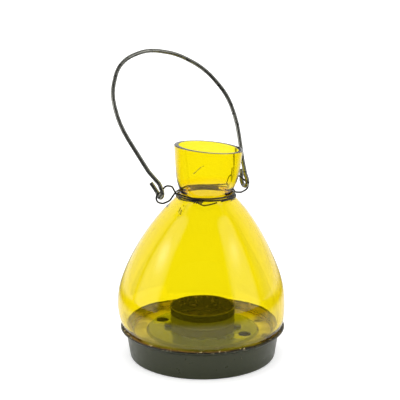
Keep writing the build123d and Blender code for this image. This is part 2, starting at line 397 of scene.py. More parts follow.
class Paint:
    """Short hand for building one Principled material from procedural parts."""

    def __init__(self, name):
        self.material = bpy.data.materials.new(name)
        self.material.use_nodes = True
        self.nodes = self.material.node_tree.nodes
        self.links = self.material.node_tree.links
        self.shader = next(n for n in self.nodes if n.type == "BSDF_PRINCIPLED")
        self.out = next(n for n in self.nodes if n.type == "OUTPUT_MATERIAL")
        self.place = self.nodes.new("ShaderNodeTexCoord").outputs["Object"]

    def set(self, **values):
        """Sets plain values on the shader's own sockets."""
        for label, value in values.items():
            self.shader.inputs[label.replace("_", " ")].default_value = value

    def noise(self, scale, detail=3.0, roughness=0.55, stretch=(1, 1, 1), offset=(0, 0, 0)):
        """Noise in object space, scaled per metre and stretched along the axes."""
        mapping = self.nodes.new("ShaderNodeMapping")
        mapping.inputs["Scale"].default_value = stretch
        mapping.inputs["Location"].default_value = offset
        self.links.new(self.place, mapping.inputs["Vector"])
        texture = self.nodes.new("ShaderNodeTexNoise")
        texture.inputs["Scale"].default_value = scale
        texture.inputs["Detail"].default_value = detail
        texture.inputs["Roughness"].default_value = roughness
        self.links.new(mapping.outputs["Vector"], texture.inputs["Vector"])
        return texture.outputs["Fac"]

    def math(self, operation, a, b=0.5, clamp=True):
        """Works one sum out of numbers or sockets; products, sums and differences are clamped."""
        node = self.nodes.new("ShaderNodeMath")
        node.operation = operation
        node.use_clamp = clamp and operation in {"MULTIPLY", "ADD", "SUBTRACT"}
        for socket, value in zip(node.inputs, (a, b)):
            if isinstance(value, (int, float)):
                socket.default_value = value
            else:
                self.links.new(value, socket)
        return node.outputs[0]

    def range(self, value, low, high, to_low=0.0, to_high=1.0, kind="SMOOTHSTEP"):
        """Maps a value from one range to another, clamped."""
        node = self.nodes.new("ShaderNodeMapRange")
        node.interpolation_type = kind
        set_range(node, low, high, to_low, to_high)
        self.links.new(value, node.inputs["Value"])
        return node.outputs["Result"]

    def mix(self, factor, a, b):
        """Mixes two colours, each a plain colour or a socket."""
        node = self.nodes.new("ShaderNodeMix")
        node.data_type = "RGBA"
        node.clamp_factor = True
        self.links.new(factor, node.inputs["Factor"])
        for label, value in (("A", a), ("B", b)):
            socket = next(s for s in node.inputs if s.name == label and s.type == "RGBA")
            if isinstance(value, bpy.types.NodeSocket):
                self.links.new(value, socket)
            else:
                socket.default_value = (*value, 1.0)
        return next(s for s in node.outputs if s.type == "RGBA")

    def axis(self, letter):
        """One coordinate of the surface point, in metres."""
        split = self.nodes.new("ShaderNodeSeparateXYZ")
        self.links.new(self.place, split.inputs[0])
        return split.outputs[letter]

    def vector(self, operation, other):
        """The outputs of one vector operation on the surface point and a fixed vector."""
        node = self.nodes.new("ShaderNodeVectorMath")
        node.operation = operation
        node.inputs[1].default_value = other
        self.links.new(self.place, node.inputs[0])
        return node.outputs

    def along(self, x, y):
        """Level distance of the surface point from the middle, in one direction, in metres."""
        return self.vector("DOT_PRODUCT", (x, y, 0))["Value"]

    def radius(self):
        """Distance of the surface point from the object's upright axis, in metres."""
        size = self.nodes.new("ShaderNodeVectorMath")
        size.operation = "LENGTH"
        self.links.new(self.vector("MULTIPLY", (1, 1, 0))[0], size.inputs[0])
        return size.outputs["Value"]

    def feed(self, label, value):
        """Feeds a socket into one of the shader's inputs."""
        self.links.new(value, self.shader.inputs[label])

    def bump(self, height, distance, strength=1.0):
        """Roughens the surface's shading by a height."""
        node = self.nodes.new("ShaderNodeBump")
        node.inputs["Distance"].default_value = distance
        node.inputs["Strength"].default_value = strength
        self.links.new(height, node.inputs["Height"])
        self.links.new(node.outputs["Normal"], self.shader.inputs["Normal"])


def yellow_glass():
    """Clear lemon-yellow glass, amber at the waist, that lets the lamps' light in."""
    glass, _, _ = settings()
    p = Paint("yellow_glass")
    p.set(Roughness=0.0, IOR=1.5, Transmission_Weight=1.0)
    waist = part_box("neck_wire")
    middle = (waist[0].z + waist[1].z) / 2
    off_waist = p.math("ABSOLUTE", p.math("SUBTRACT", p.axis("Z"), middle, clamp=False))
    p.feed("Base Color", p.mix(p.range(off_waist, 2.0 * MM, 6.0 * MM), (1.0, 0.90, 0.5), (1.0, 1.0, 1.0)))
    p.bump(p.noise(26, detail=0.0, stretch=(1, 1, 0.3)), 0.00030, 0.25)
    lamps = p.nodes.new("ShaderNodeBsdfTransparent")
    lamps.inputs["Color"].default_value = (0.97, 0.97, 0.97, 1.0)
    path = p.nodes.new("ShaderNodeLightPath")
    blend = p.nodes.new("ShaderNodeMixShader")
    p.links.new(path.outputs["Is Shadow Ray"], blend.inputs["Fac"])
    p.links.new(p.shader.outputs["BSDF"], blend.inputs[1])
    p.links.new(lamps.outputs["BSDF"], blend.inputs[2])
    p.links.new(blend.outputs["Shader"], p.out.inputs["Surface"])
    depth = p.nodes.new("ShaderNodeVolumeAbsorption")
    depth.inputs["Color"].default_value = (*glass.tint, 1.0)
    depth.inputs["Density"].default_value = glass.depth
    p.links.new(depth.outputs["Volume"], p.out.inputs["Volume"])
    return p.material


def seed_glass():
    """Bubbles and specks in the wall, seen as dark amber ticks."""
    p = Paint("seed_in_glass")
    tone = p.noise(900, detail=1.0)
    p.feed("Base Color", p.mix(tone, (0.20, 0.15, 0.01), (0.42, 0.34, 0.02)))
    p.set(Roughness=0.25, IOR=1.4)
    return p.material


def satin_base_paint():
    """Dark grey-green satin paint with faint handling marks; along the lip a painted shade, almost black,
    with brighter worn specks.
    """
    _, steel, _ = settings()
    p = Paint("satin_base_paint")
    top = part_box("base_pan")[1].z
    cloud = p.noise(55, detail=4.0)
    streak = p.noise(160, detail=3.0, stretch=(1, 1, 5))
    tone = p.mix(cloud, [c * 0.82 for c in steel.base_colour], [c * 1.25 for c in steel.base_colour])
    tone = p.mix(p.range(streak, 0.62, 0.80, 0.0, 0.3), tone, (0.040, 0.044, 0.030))
    at_lip = p.range(p.axis("Z"), top - 1.6 * MM, top - 0.2 * MM)
    # Painted shade: the top of the lip is darkened almost to black where it meets the putty and the glass.
    tone = p.mix(at_lip, tone, (0.005, 0.005, 0.003))
    worn = p.math("MULTIPLY", at_lip, p.range(p.noise(420, detail=2.0), 0.58, 0.68))
    tone = p.mix(p.math("MULTIPLY", worn, 0.8), tone, (0.20, 0.18, 0.11))
    p.feed("Base Color", tone)
    p.feed("Roughness", p.range(p.noise(210, detail=4.0), 0.3, 0.75, 0.26, 0.42, "LINEAR"))
    p.set(Specular_IOR_Level=0.5)
    p.bump(p.noise(650, detail=3.0), 0.00006, 0.5)
    return p.material


def gloss_tray_paint():
    """Gloss paint on the raised floor; in the gutter a painted reflection, pale and yellowish in the far
    part and painted shade towards the near side, with rust stains.
    """
    _, steel, _ = settings()
    p = Paint("gloss_tray_paint")
    gutter = p.range(p.radius(), 35.2 * MM, 36.6 * MM)
    stain = p.noise(70, detail=5.0, roughness=0.65)
    tone = p.mix(stain, steel.tray_colour, [c * 1.25 for c in steel.tray_colour])
    # Painted light: the gutter's pale yellowish tone stands in for the reflection of the yellow glass,
    # bright in the far part and fading to the plain paint, a painted shade, on the near side.
    gutter_painted_light = p.mix(p.range(p.noise(60, detail=3.0), 0.34, 0.60), (0.36, 0.34, 0.17), (0.80, 0.76, 0.40))
    gutter_painted_light = p.mix(p.range(p.along(0.5, 0.866), -36 * MM, 12 * MM), steel.tray_colour, gutter_painted_light)
    tone = p.mix(gutter, tone, gutter_painted_light)
    rust = p.math("MULTIPLY", p.range(p.noise(52, detail=5.0, offset=(3, 1, 2)), 0.60, 0.66), gutter)
    tone = p.mix(p.math("MULTIPLY", rust, 0.9), tone, (0.03, 0.026, 0.008))
    p.feed("Base Color", tone)
    matt = p.range(gutter, 0.0, 1.0, 0.07, 0.22, "LINEAR")
    p.feed("Roughness", p.math("ADD", matt, p.math("MULTIPLY", rust, 0.4)))
    p.set(Specular_IOR_Level=0.65)
    p.bump(p.noise(120, detail=2.0), 0.00008, 0.25)
    return p.material


def rusty_cup_paint():
    """Olive paint of the cup with a painted shade band, nearly black, under the rim and a painted highlight
    on the rim's top; brown and speckled with rust inside.
    """
    _, steel, _ = settings()
    p = Paint("rusty_cup_paint")
    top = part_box("bait_cup")[1].z
    inside = p.range(p.radius(), 20.3 * MM, 20.1 * MM)
    near_rim = p.range(p.axis("Z"), top - 5.2 * MM, top - 4.4 * MM)
    # Painted shade: the outer wall under the rim is a near-black copy of the cup paint.
    outer = p.mix(near_rim, steel.cup_colour, [c * 0.05 for c in steel.cup_colour])
    brown = p.mix(p.noise(240, detail=6.0, roughness=0.7), (0.003, 0.0025, 0.001), (0.020, 0.012, 0.004))
    tone = p.mix(inside, outer, brown)
    patch = p.math("MULTIPLY", inside, p.range(p.noise(120, detail=5.0), 0.52, 0.72))
    tone = p.mix(p.math("MULTIPLY", patch, 0.45), tone, [c * 0.55 for c in steel.rust_colour])
    fleck = p.math("MULTIPLY", inside, p.range(p.noise(560, detail=2.0), 0.60, 0.66))
    tone = p.mix(fleck, tone, (0.20, 0.13, 0.045))
    # Painted highlight: a lighter line along the top edge of the rim.
    rim = p.range(p.axis("Z"), top - 0.35 * MM, top - 0.15 * MM)
    tone = p.mix(rim, tone, (0.10, 0.09, 0.035))
    p.feed("Base Color", tone)
    p.feed("Roughness", p.range(p.math("ADD", inside, near_rim), 0.0, 1.0, 0.20, 0.70, "LINEAR"))
    p.set(Specular_IOR_Level=0.04)
    p.bump(p.noise(500, detail=4.0), 0.00010, 0.6)
    return p.material


def dried_putty():
    """Dried putty: black with dirt, brown on one side, light specks, dusty under the glass."""
    _, steel, _ = settings()
    p = Paint("dried_putty")
    patchy = p.range(p.noise(90, detail=3.0), 0.34, 0.58)
    aged = p.math("MULTIPLY", patchy, p.range(p.along(-0.82, -0.57), 30 * MM, 44 * MM))
    tone = p.mix(aged, (0.007, 0.006, 0.003), steel.putty_colour)
    tone = p.mix(p.range(p.noise(420, detail=2.0), 0.60, 0.68), tone, (0.55, 0.47, 0.27))
    dusty = p.mix(p.range(p.noise(70, detail=3.0), 0.36, 0.60), (0.10, 0.09, 0.035), (0.62, 0.58, 0.30))
    tone = p.mix(p.range(p.radius(), 49.2 * MM, 48.4 * MM), tone, dusty)
    p.feed("Base Color", tone)
    p.feed("Roughness", p.range(p.noise(300), 0.3, 0.7, 0.45, 0.8, "LINEAR"))
    p.bump(p.noise(800, detail=4.0), 0.0002, 0.8)
    return p.material


def annealed_wire(name, shine, depth=1.0):
    """Black-annealed steel wire, darker in patches; a small depth makes it blacker."""
    _, _, wires = settings()
    p = Paint(name)
    patch = p.noise(130, detail=4.0)
    tone = p.mix(patch, [c * 0.7 * depth for c in wires.colour], [c * 1.3 * depth for c in wires.colour])
    tone = p.mix(p.range(p.noise(300, detail=2.0), 0.56, 0.76), tone, (0.012, 0.011, 0.008))
    p.feed("Base Color", tone)
    p.feed("Roughness", p.range(p.noise(260, detail=3.0), 0.3, 0.7, shine, shine + 0.16, "LINEAR"))
    p.set(Metallic=0.95, Specular_IOR_Level=0.5)
    p.bump(p.noise(1400, detail=2.0), 0.00004, 0.6)
    return p.material


# ---------------------------------------------------------------------------
# The jar
# ---------------------------------------------------------------------------

LEVEL_WALL = 3.3 * MM           # the wall as a level cut shows it, thicker where it slopes
LEVEL_WALL_SPREAD = 0.9 * MM
OFF_CENTRE = 0.3 * MM


def jar_rings():
    """Height, middle, outer and inner radius of the jar at each level of its CAD shape."""
    points = np.array([v.co for v in frame["nodes"]["glass_jar"].data.vertices])
    levels = {}
    for point in points:
        levels.setdefault(round(float(point[2]), 5), []).append(point[:2])
    rings = []
    for height, flat in sorted(levels.items()):
        flat = np.unique(np.round(np.array(flat), 7), axis=0)
        if len(flat) < 24:
            continue
        rough = (flat.min(0) + flat.max(0)) / 2
        away = np.hypot(*(flat - rough).T)
        split = (away.min() + away.max()) / 2
        circles = []
        for part in (flat[away > split], flat[away <= split]):
            if len(part) < 8:
                circles.append(None)
                continue
            sums = np.column_stack([2 * part, np.ones(len(part))])
            fit = np.linalg.lstsq(sums, (part ** 2).sum(1), rcond=None)[0]
            circles.append((fit[:2], math.sqrt(fit[2] + fit[0] ** 2 + fit[1] ** 2)))
        if circles[0] is None or circles[1] is None:
            continue
        if abs(circles[0][1] - circles[1][1] - LEVEL_WALL) > LEVEL_WALL_SPREAD:
            continue
        if math.dist(circles[0][0], circles[1][0]) > OFF_CENTRE:
            continue
        rings.append((height, circles[0][0], circles[0][1], circles[1][1]))
    return rings


def polar(centre, radius, degrees, rise=0.0):
    """A point round a centre, at a radius and an angle in degrees."""
    angle = math.radians(degrees)
    return centre + Vector((radius * math.cos(angle), radius * math.sin(angle), rise))


def wall_radius(rings, height):
    """Outer radius of the jar at a height."""
    return float(np.interp(height, [ring[0] for ring in rings], [ring[2] for ring in rings]))


def mouth_plane(above):
    """Plane of the slanted cut: height = a + b x + c y, through the CAD jar's top edge."""
    points = np.array([v.co for v in frame["nodes"]["glass_jar"].data.vertices])
    top = points[points[:, 2] > above]
    sums = np.column_stack([np.ones(len(top)), top[:, :2]])
    return np.linalg.lstsq(sums, top[:, 2], rcond=None)[0]


def smooth_curve(xs, ys):
    """A smooth curve through points, as a function; straight past its ends."""
    xs, ys = np.asarray(xs, float), np.asarray(ys, float)
    slopes = np.gradient(ys, xs)

    def value(x):
        i = int(np.clip(np.searchsorted(xs, x) - 1, 0, len(xs) - 2))
        span = xs[i + 1] - xs[i]
        if x < xs[0]:
            return ys[0] + slopes[0] * (x - xs[0])
        if x > xs[-1]:
            return ys[-1] + slopes[-1] * (x - xs[-1])
        t = (x - xs[i]) / span
        ends = (2 * t**3 - 3 * t**2 + 1) * ys[i] + (3 * t**2 - 2 * t**3) * ys[i + 1]
        return ends + span * ((t**3 - 2 * t**2 + t) * slopes[i] + (t**3 - t**2) * slopes[i + 1])

    return value


def wobble(angle, height, lane):
    """Slow unevenness of blown glass, from -1 to 1."""
    place = Vector((math.cos(angle), math.sin(angle), height * 22)) * 1.3
    return noise.noise(place + Vector((lane * 7.3, 0, 0)))


def jar_mesh(name, ripple, lip, thick_waist):
    """The blown jar: outer wall, rounded cut lip, inner wall and rounded heel."""
    turns, levels, steps = 176, 120, 4
    heel = 0.5 * MM
    waist_half = 3 * MM
    rings = jar_rings()
    heights = [r[0] for r in rings]
    x_of = smooth_curve(heights, [r[1][0] for r in rings])
    y_of = smooth_curve(heights, [r[1][1] for r in rings])
    outer_of = smooth_curve(heights, [r[2] for r in rings])
    inner_of = smooth_curve(heights, [r[3] for r in rings])
    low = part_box("glass_jar")[0].z
    waist = min(rings, key=lambda ring: ring[2])[0]
    plane = mouth_plane(heights[-1] + 0.3 * MM)
    ring_verts = []
    bm = bmesh.new()

    def ring(share, drop, inset, wall):
        """One round of points: share of the way up, then down and in; wall 0 is the outer one."""
        made = []
        for j in range(turns):
            angle = math.tau * j / turns
            out = Vector((math.cos(angle), math.sin(angle)))
            edge_x = x_of(heights[-1]) + out.x * outer_of(heights[-1])
            edge_y = y_of(heights[-1]) + out.y * outer_of(heights[-1])
            top = plane[0] + plane[1] * edge_x + plane[2] * edge_y
            z = low + (top - low) * share - drop
            swell = thick_waist * math.exp(-((z - waist) / waist_half) ** 2)
            radius = outer_of(z) if wall == 0 else inner_of(z) - swell
            fade = min(1.0, (z - low) / (12 * MM))
            radius += ripple * fade * wobble(angle, z, wall)
            radius += -inset if wall == 0 else inset
            made.append(bm.verts.new((x_of(z) + out.x * radius, y_of(z) + out.y * radius, z)))
        ring_verts.append(made)

    for i in range(steps + 1):
        turn = math.pi / 2 * i / steps
        ring(0.0, -heel * (1 - math.cos(turn)), heel * (1 - math.sin(turn)), 0)
    for i in range(1, levels):
        ring(i / levels, 0.0, 0.0, 0)
    for i in range(steps + 1):
        turn = math.pi / 2 * i / steps
        ring(1.0, lip * (1 - math.sin(turn)), lip * (1 - math.cos(turn)), 0)
    for i in range(steps + 1):
        turn = math.pi / 2 * i / steps
        ring(1.0, lip * (1 - math.cos(turn)), lip * (1 - math.sin(turn)), 1)
    for i in range(levels - 1, 0, -1):
        ring(i / levels, 0.0, 0.0, 1)
    for i in range(steps + 1):
        turn = math.pi / 2 * i / steps
        ring(0.0, -heel * (1 - math.sin(turn)), heel * (1 - math.cos(turn)), 1)
    for lower, upper in zip(ring_verts, ring_verts[1:] + ring_verts[:1]):
        for j in range(turns):
            k = (j + 1) % turns
            bm.faces.new((lower[j], lower[k], upper[k], upper[j]))
    return mesh_object(name, bm, smooth_angle=75)


# Scratches and folds in the glass: bearing and height of both ends, and width, in mm.
FLAWS = (
    (194.6, 99.8, 196.4, 97.4, 0.7),
    (199.4, 98.8, 201.2, 96.6, 0.8),
    (198.0, 101.2, 198.6, 100.7, 0.6),
    (228.0, 126.4, 221.0, 124.0, 0.45),
    (220.0, 123.6, 214.0, 121.6, 0.55),
    (232.0, 127.2, 230.5, 126.7, 0.45),
)


class WASPTRAP_OT_glass_jar(bpy.types.Operator):
    """Blow the jar, with its slanted cut mouth, the seeds in its wall and a few scratches"""
    bl_idname = "wasptrap.glass_jar"
    bl_label = "Glass Jar"

    def execute(self, context):
        glass, _, _ = settings()
        jar = jar_mesh("jar_glass", glass.ripple, glass.lip, glass.waist)
        finish_piece(jar, yellow_glass(), "trap", "yellow_glass", "glass_jar")

        dark = seed_glass()
        area = sum(face.area for face in jar.data.polygons)
        seeds = run_tree(new_object("jar_seeds", jar.data.copy()), seed_tree(), {
            "Density": glass.seeds / area, "Size": glass.seed_size, "Seed": 4, "Material": dark})
        finish_piece(seeds, dark, "trap", "yellow_glass")

        rings = jar_rings()
        for i, (start, high, end, low, width) in enumerate(FLAWS):
            path = []
            for share in (0.0, 0.35, 0.7, 1.0):
                height = (high + (low - high) * share) * MM
                level = min(rings, key=lambda ring: abs(ring[0] - height))
                centre = Vector((level[1][0], level[1][1], height))
                outside = wall_radius(rings, height) + 0.03 * MM
                path.append(polar(centre, outside, start + (end - start) * share))
            mark = wire(f"jar_scratch_{i + 1}", path, width * MM, dark, facets=8)
            finish_piece(mark, dark, "trap", "yellow_glass")
        return {"FINISHED"}


# ---------------------------------------------------------------------------
# The steel base, tray, cup and putty
# ---------------------------------------------------------------------------

class WASPTRAP_OT_base_pan(bpy.types.Operator):
    """Press the base: tapered skirt, turned-in foot and a lip with a folded hem"""
    bl_idname = "wasptrap.base_pan"
    bl_label = "Base Pan"

    def execute(self, context):
        _, steel, _ = settings()
        lo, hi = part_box("base_pan")
        sheet = steel.sheet
        lip_r = hi.x
        wall_r = lip_r - 3.6 * MM
        foot_r = wall_r - 2.5 * MM
        hem = 1.15 * sheet
        outline = [
            (foot_r - 6.9 * MM, 0), (foot_r, 0), (wall_r, hi.z - 3.3 * MM),
            (lip_r - 0.2 * MM, hi.z - hem), (lip_r, hi.z - 0.45 * hem), (lip_r - 0.4 * MM, hi.z),
            (lip_r - 1.3 * MM, hi.z - 0.1 * MM), (wall_r - sheet, hi.z - 3.0 * MM),
            (foot_r - sheet, sheet), (foot_r - 6.9 * MM, sheet),
        ]
        radii = [0.2 * MM, 1.6 * MM, 1.1 * MM, 0.15 * MM, 0.3 * MM, 0.25 * MM, 0.2 * MM, 0.8 * MM,
                 1.0 * MM, 0.2 * MM]
        pan = lathe("pan_skirt", closed_outline(outline, radii), turns=180)
        finish_piece(pan, satin_base_paint(), "trap", "base_paint", "base_pan")
        return {"FINISHED"}


class WASPTRAP_OT_floor_tray(bpy.types.Operator):
    """Press the floor tray, with its gutter, vents and notched hole"""
    bl_idname = "wasptrap.floor_tray"
    bl_label = "Floor Tray"

    def execute(self, context):
        floor = rounded_copy("tray_floor", "floor_tray", 0.18 * MM, 30)
        finish_piece(floor, gloss_tray_paint(), "trap", "tray_paint", "floor_tray")
        return {"FINISHED"}


class WASPTRAP_OT_bait_cup(bpy.types.Operator):
    """Make the bait cup: beaded wall, seated floor and two lugs"""
    bl_idname = "wasptrap.bait_cup"
    bl_label = "Bait Cup"

    def execute(self, context):
        lo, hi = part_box("bait_cup")
        floor_lo, floor_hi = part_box("cup_floor")
        paint = rusty_cup_paint()
        inner = floor_hi.x
        sheet = 0.6 * MM
        outer = inner + sheet
        bead = (floor_lo.z + floor_hi.z) / 2 - 0.35 * MM
        flange = hi.x
        outline = [
            (inner, hi.z - 0.5 * MM), (inner + 0.1 * MM, hi.z), (outer + 0.35 * MM, hi.z),
            (outer + 0.35 * MM, hi.z - 0.9 * MM), (outer, hi.z - 1.1 * MM),
            (outer, bead + 1.0 * MM), (outer + 0.35 * MM, bead), (outer, bead - 1.0 * MM),
            (outer, lo.z + sheet), (flange, lo.z + sheet), (flange, lo.z), (inner, lo.z),
            (inner, bead - 1.0 * MM), (inner + 0.3 * MM, bead), (inner, bead + 1.0 * MM),
        ]
        radii = [0.1 * MM, 0.25 * MM, 0.4 * MM, 0.2 * MM, 0.2 * MM, 0.5 * MM, 0.6 * MM, 0.5 * MM,
                 0.5 * MM, 0.15 * MM, 0.15 * MM, 0.7 * MM, 0.4 * MM, 0.4 * MM, 0.4 * MM]
        wall = lathe("cup_wall", closed_outline(outline, radii), turns=128)
        finish_piece(wall, paint, "cup", "cup_paint", "bait_cup")
        dish = closed_outline(
            [(0, bead + 0.1 * MM), (inner - 2.2 * MM, bead + 0.1 * MM), (inner - 0.7 * MM, bead + 1.3 * MM),
             (inner, bead + 1.3 * MM), (inner, bead + 0.6 * MM), (inner - 1.6 * MM, bead - 0.5 * MM),
             (0, bead - 0.5 * MM)],
            [0, 1.2 * MM, 0.4 * MM, 0.1 * MM, 0.1 * MM, 1.4 * MM, 0])
        plate = lathe("cup_dish", dish, turns=128)
        finish_piece(plate, paint, "cup", "cup_paint", "cup_floor")
        lugs = rounded_copy("lug_pair", "cup_lugs", 0.3 * MM, 40)
        finish_piece(lugs, paint, "cup", "cup_paint", "cup_lugs")
        return {"FINISHED"}


class WASPTRAP_OT_jar_seal(bpy.types.Operator):
    """Run the bead of putty round the jar's heel"""
    bl_idname = "wasptrap.jar_seal"
    bl_label = "Jar Seal"

    def execute(self, context):
        lo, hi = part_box("jar_seal")
        pan_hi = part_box("base_pan")[1]

        def uneven(radius, angle, height):
            """The putty's top edge rises, falls and smears here and there."""
            place = Vector((math.cos(angle) * 9, math.sin(angle) * 9, 0.3))
            rise = noise.noise(place) + 0.6 * noise.noise(place * 3.1)
            if height > pan_hi.z - 1.0 * MM:
                return radius + 0.10 * MM * rise, height + 0.35 * MM * rise
            return radius, height

        top = pan_hi.z + 0.25 * MM
        edge = pan_hi.x - 0.75 * MM
        outline = [
            (edge - 3.2 * MM, lo.z + 0.3 * MM), (edge - 3.4 * MM, pan_hi.z - 2.2 * MM),
            (edge - 0.1 * MM, pan_hi.z - 0.6 * MM), (edge, top), (edge - 1.2 * MM, top + 0.15 * MM),
            (edge - 2.6 * MM, top - 0.4 * MM), (edge - 4.4 * MM, lo.z + 1.0 * MM),
        ]
        radii = [0.2 * MM, 0.3 * MM, 0.2 * MM, 0.3 * MM, 0.4 * MM, 0.4 * MM, 0.2 * MM]
        bead = lathe("putty_bead", closed_outline(outline, radii), turns=240, shift=uneven)
        finish_piece(bead, dried_putty(), "trap", "putty", "jar_seal")
        return {"FINISHED"}


# ---------------------------------------------------------------------------
# The wires
# ---------------------------------------------------------------------------

LEFT_HOOK, RIGHT_HOOK = -30.0, 30.6     # places of the two hooks along the hinge axis, in mm
BAIL_LEAN = math.radians(35.0)


def bail_route():
    """Corners of the bail's wire, across its own plane, and the bend at each, in mm.

    Each place is along the hinge axis, towards the far side of the plane, and up the bail.
    """
    half = 3.3
    left, right = LEFT_HOOK, RIGHT_HOOK
    return [
        ((-32.2, half, 8.0), None),
        ((left, half, 1.6), 3.0),
        ((left, half, -half), half - 0.1),
        ((left, -half, -half), half - 0.1),
        ((-30.4, -half, 4.0), 6.0),
        ((-35.1, -half, 12.7), 20.0),
        ((-45.3, -half, 45.7), 60.0),
        ((-44.0, -half, 66.7), 36.0),
        ((-32.6, -half, 88.3), 28.0),
        ((-10.2, -half, 95.0), 32.0),
        ((9.1, -half, 90.5), 38.0),
        ((26.2, -half, 78.5), 40.0),
        ((36.0, -half, 59.0), 38.0),
        ((37.2, -half, 40.5), 80.0),
        ((31.8, -half, 12.4), 30.0),
        ((right, -half, 3.6), 8.0),
        ((right, -half, -half), half - 0.1),
        ((right, half, -half), half - 0.1),
        ((right, half, 2.0), 3.0),
        ((33.2, half, 8.8), None),
    ]


class WASPTRAP_OT_bail(bpy.types.Operator):
    """Bend the bail, with a hook at each end"""
    bl_idname = "wasptrap.bail"
    bl_label = "Bail"

    def execute(self, context):
        _, _, wires = settings()
        lean = Matrix.Rotation(-BAIL_LEAN, 3, "X")
        stops = bail_route()
        places = [HINGE + lean @ (Vector(place) * MM) for place, _ in stops]
        radii = [radius * MM for _, radius in stops if radius is not None]
        path = rounded(places, radii, steps=14)
        handle = wire("bail_handle", path, wires.bail, annealed_wire("bail_steel", 0.18), facets=28)
        finish_piece(handle, handle.data.materials[0], "bail", "dark_wire", "bail")
        return {"FINISHED"}


# Corners of the hand-bent ear rings before they are rounded, in mm from the hinge
# axis: towards the neck, then up; and the bend at each.
LEFT_EAR = (
    ((9.6, -0.7), None), ((7.6, 3.2), 2.2), ((3.7, 3.9), 3.0), ((0.2, -0.1), 3.0), ((-2.5, -1.9), 3.0),
    ((-2.0, -6.1), 3.0), ((2.0, -7.4), 3.4), ((6.4, -5.9), 4.0), ((9.6, -1.5), None))
RIGHT_EAR = (
    ((8.9, -2.4), None), ((8.0, 2.4), 2.6), ((4.2, 3.9), 3.0), ((0.0, 0.4), 3.0), ((-2.9, -2.4), 3.0),
    ((-1.6, -5.6), 3.0), ((2.2, -7.3), 3.2), ((6.2, -6.9), 2.4), ((8.9, -3.2), None))
EAR_TURN = math.radians(-12.0)
# Tail of the tie wire: how far out in mm, how far round in degrees, and how high in mm.
TIE_TAIL = (
    (0.5, 358, 0.0), (1.3, 364, -0.9), (1.8, 370, -1.5), (1.7, 372, -1.45), (1.2, 384, -0.9),
    (0.7, 394, -0.2))


def ear_ring(hook_x, inward, corners, spread):
    """Points of an ear ring; spread parts its two ends sideways where they cross."""
    facing = Vector((math.cos(EAR_TURN), math.sin(EAR_TURN), 0)) * inward
    aside = Vector((-math.sin(EAR_TURN), math.cos(EAR_TURN), 0)) * inward
    centre = Vector((hook_x, HINGE.y, HINGE.z))
    last = len(corners) - 1
    stops = []
    for i, ((along, up), _) in enumerate(corners):
        place = centre + facing * along * MM + Vector((0, 0, up * MM))
        stops.append(place + aside * spread * (i / last - 0.5))
    return rounded(stops, [radius * MM for _, radius in corners if radius], steps=9)


class WASPTRAP_OT_neck_wires(bpy.types.Operator):
    """Wind the neck wire with its two ear rings, and the thin tie wire under it"""
    bl_idname = "wasptrap.neck_wires"
    bl_label = "Neck Wires"

    def execute(self, context):
        _, _, wires = settings()
        metal = annealed_wire("neck_wire_steel", 0.30, 0.30)
        rings = jar_rings()
        waist = min(rings, key=lambda ring: ring[2])
        neck = Vector((waist[1][0], waist[1][1], waist[0] + 0.5 * MM))
        radius = waist[2] + wires.neck * 0.5 + 0.33 * MM

        left = ear_ring(LEFT_HOOK * MM, 1, LEFT_EAR, 1.1 * MM)
        right = ear_ring(RIGHT_HOOK * MM, -1, RIGHT_EAR, 1.1 * MM)
        outer = radius / math.cos(math.radians(19))
        front = [polar(neck, outer, a, 0.1 * MM) for a in (212, 250, 288, 325)]
        back = [polar(neck, outer, a, 0.2 * MM) for a in (34, 72, 110, 146)]
        bends = [0.6 * MM] + [radius * 0.9] * 4 + [0.6 * MM]
        loop = left[1:-1]
        loop += rounded([*left[-2:], *front, *right[:2]], bends, steps=12)[1:-1]
        loop += right[1:-1]
        loop += rounded([*right[-2:], *back, *left[:2]], bends, steps=12)[1:-1]
        bent = wire("neck_wire_rings", loop, wires.neck, metal, facets=14, cyclic=True, order=3)
        finish_piece(bent, metal, "trap", "dark_wire", "neck_wire")

        second = []
        for i in range(72):
            share = i / 72
            sag = 0.16 * MM * math.sin(math.tau * share * 2 + 0.6)
            second.append(polar(neck, radius + 0.32 * MM, 360 * share, -1.1 * MM + sag))
        turn = wire("neck_wire_second_turn", second, wires.neck, metal, facets=14, cyclic=True)
        finish_piece(turn, metal, "trap", "dark_wire")

        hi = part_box("tie_wire")[1]
        low = Vector((neck.x, neck.y, hi.z - 0.45 * MM))
        below = min(rings, key=lambda ring: abs(ring[0] - low.z + 0.4 * MM))
        tie_r = below[2] + 0.85 * MM
        knot = -134
        path = [
            polar(low, tie_r, knot + 44 + i * 10.3, 0.15 * MM * math.sin(i * 0.9)) for i in range(31)]
        path += [
            polar(low, tie_r + out * MM, knot + onward, rise * MM) for out, onward, rise in TIE_TAIL]
        tie = wire("tie_wire_turn", path, wires.tie, metal, facets=12, order=3)
        finish_piece(tie, metal, "trap", "dark_wire", "tie_wire")

        coil = []
        for i in range(61):
            share = i / 60
            around = math.tau * 4.5 * share
            rise = -0.1 * MM + 0.6 * MM * math.sin(around)
            out = tie_r + 0.35 * MM + 0.6 * MM * math.cos(around)
            coil.append(polar(low, out, knot - 12 + 20 * share, rise))
        twist = wire("tie_wire_twist", coil, wires.tie * 0.85, metal, facets=10)
        finish_piece(twist, metal, "trap", "dark_wire")
        return {"FINISHED"}


# ---------------------------------------------------------------------------
# The stage
# ---------------------------------------------------------------------------

